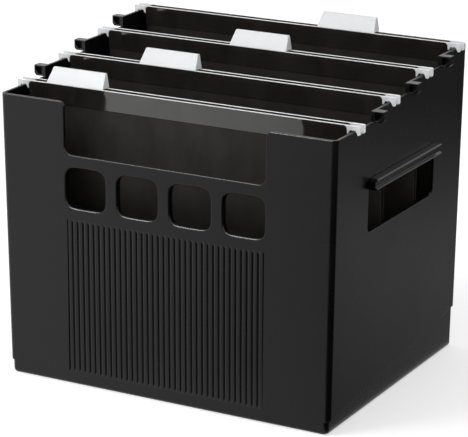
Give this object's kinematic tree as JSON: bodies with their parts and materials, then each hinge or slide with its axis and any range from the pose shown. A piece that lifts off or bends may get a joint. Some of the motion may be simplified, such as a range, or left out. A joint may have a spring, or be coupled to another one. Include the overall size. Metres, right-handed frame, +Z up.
{
  "type": "portable file box with hanging folders",
  "caption": "Open-topped moulded file box with a stepped rim, front windows and clip-on grips, carrying hanging folders that lift out and open, each with a clear labelled tab.",
  "frame": {"origin": "centre of the whole object's footprint, on the plane that the box stands on", "axes": "+X to the right seen from the front, +Y to the back, +Z up"},
  "size_m": [0.331, 0.2512, 0.2919],
  "materials": {
    "box_plastic": "matte satin, fine texture",
    "grip_plastic": "semi-gloss",
    "folder_board": "smooth semi-gloss coating",
    "hanger_plastic": "glossy white",
    "tab_plastic": "clear and glossy",
    "label_paper": "matt white"
  },
  "bodies": {
    "box": {"box_body": "box_plastic", "left_grip": "grip_plastic", "right_grip": "grip_plastic"},
    "folder_1_carrier": {"folder_1_rear_hanger": "hanger_plastic"},
    "folder_1_rear": {"folder_1_rear_leaf": "folder_board"},
    "folder_1_front": {"folder_1_front_leaf": "folder_board", "folder_1_front_hanger": "hanger_plastic", "folder_1_tab": "tab_plastic", "folder_1_label": "label_paper"},
    "folder_2_carrier": {"folder_2_rear_hanger": "hanger_plastic"},
    "folder_2_rear": {"folder_2_rear_leaf": "folder_board"},
    "folder_2_front": {"folder_2_front_leaf": "folder_board", "folder_2_front_hanger": "hanger_plastic", "folder_2_tab": "tab_plastic", "folder_2_label": "label_paper"},
    "folder_3_carrier": {"folder_3_rear_hanger": "hanger_plastic"},
    "folder_3_rear": {"folder_3_rear_leaf": "folder_board"},
    "folder_3_front": {"folder_3_front_leaf": "folder_board", "folder_3_front_hanger": "hanger_plastic", "folder_3_tab": "tab_plastic", "folder_3_label": "label_paper"},
    "folder_4_carrier": {"folder_4_rear_hanger": "hanger_plastic"},
    "folder_4_rear": {"folder_4_rear_leaf": "folder_board"},
    "folder_4_front": {"folder_4_front_leaf": "folder_board", "folder_4_front_hanger": "hanger_plastic", "folder_4_tab": "tab_plastic", "folder_4_label": "label_paper"}
  },
  "joints": [
    {"name": "folder_1_lift", "type": "slide", "parent": "box", "child": "folder_1_carrier", "axis": [0, 0, 1], "range_m": [0, 0.27]},
    {"name": "folder_1_swing", "type": "hinge", "parent": "folder_1_carrier", "child": "folder_1_rear", "pos_m": [0, -0.08399, 0.2494], "axis": [1, 0, 0], "range_deg": [-2.48, 0]},
    {"name": "folder_1_open", "type": "hinge", "parent": "folder_1_rear", "child": "folder_1_front", "pos_m": [0, -0.08799, 0.0184], "axis": [1, 0, 0], "range_deg": [0, 4.96]},
    {"name": "folder_2_lift", "type": "slide", "parent": "box", "child": "folder_2_carrier", "axis": [0, 0, 1], "range_m": [0, 0.27]},
    {"name": "folder_2_swing", "type": "hinge", "parent": "folder_2_carrier", "child": "folder_2_rear", "pos_m": [0, -0.01939, 0.2587], "axis": [1, 0, 0], "range_deg": [-2.48, 0]},
    {"name": "folder_2_open", "type": "hinge", "parent": "folder_2_rear", "child": "folder_2_front", "pos_m": [0, -0.02339, 0.0277], "axis": [1, 0, 0], "range_deg": [0, 4.96]},
    {"name": "folder_3_lift", "type": "slide", "parent": "box", "child": "folder_3_carrier", "axis": [0, 0, 1], "range_m": [0, 0.27]},
    {"name": "folder_3_swing", "type": "hinge", "parent": "folder_3_carrier", "child": "folder_3_rear", "pos_m": [0, 0.04521, 0.268], "axis": [1, 0, 0], "range_deg": [-2.48, 0]},
    {"name": "folder_3_open", "type": "hinge", "parent": "folder_3_rear", "child": "folder_3_front", "pos_m": [0, 0.04121, 0.037], "axis": [1, 0, 0], "range_deg": [0, 4.96]},
    {"name": "folder_4_lift", "type": "slide", "parent": "box", "child": "folder_4_carrier", "axis": [0, 0, 1], "range_m": [0, 0.27]},
    {"name": "folder_4_swing", "type": "hinge", "parent": "folder_4_carrier", "child": "folder_4_rear", "pos_m": [0, 0.10981, 0.2773], "axis": [1, 0, 0], "range_deg": [-2.48, 0]},
    {"name": "folder_4_open", "type": "hinge", "parent": "folder_4_rear", "child": "folder_4_front", "pos_m": [0, 0.10581, 0.0463], "axis": [1, 0, 0], "range_deg": [0, 4.96]}
  ],
  "couplings": [
    {"joint": "folder_1_open", "follows": "folder_1_swing", "ratio": -2},
    {"joint": "folder_2_open", "follows": "folder_2_swing", "ratio": -2},
    {"joint": "folder_3_open", "follows": "folder_3_swing", "ratio": -2},
    {"joint": "folder_4_open", "follows": "folder_4_swing", "ratio": -2}
  ]
}
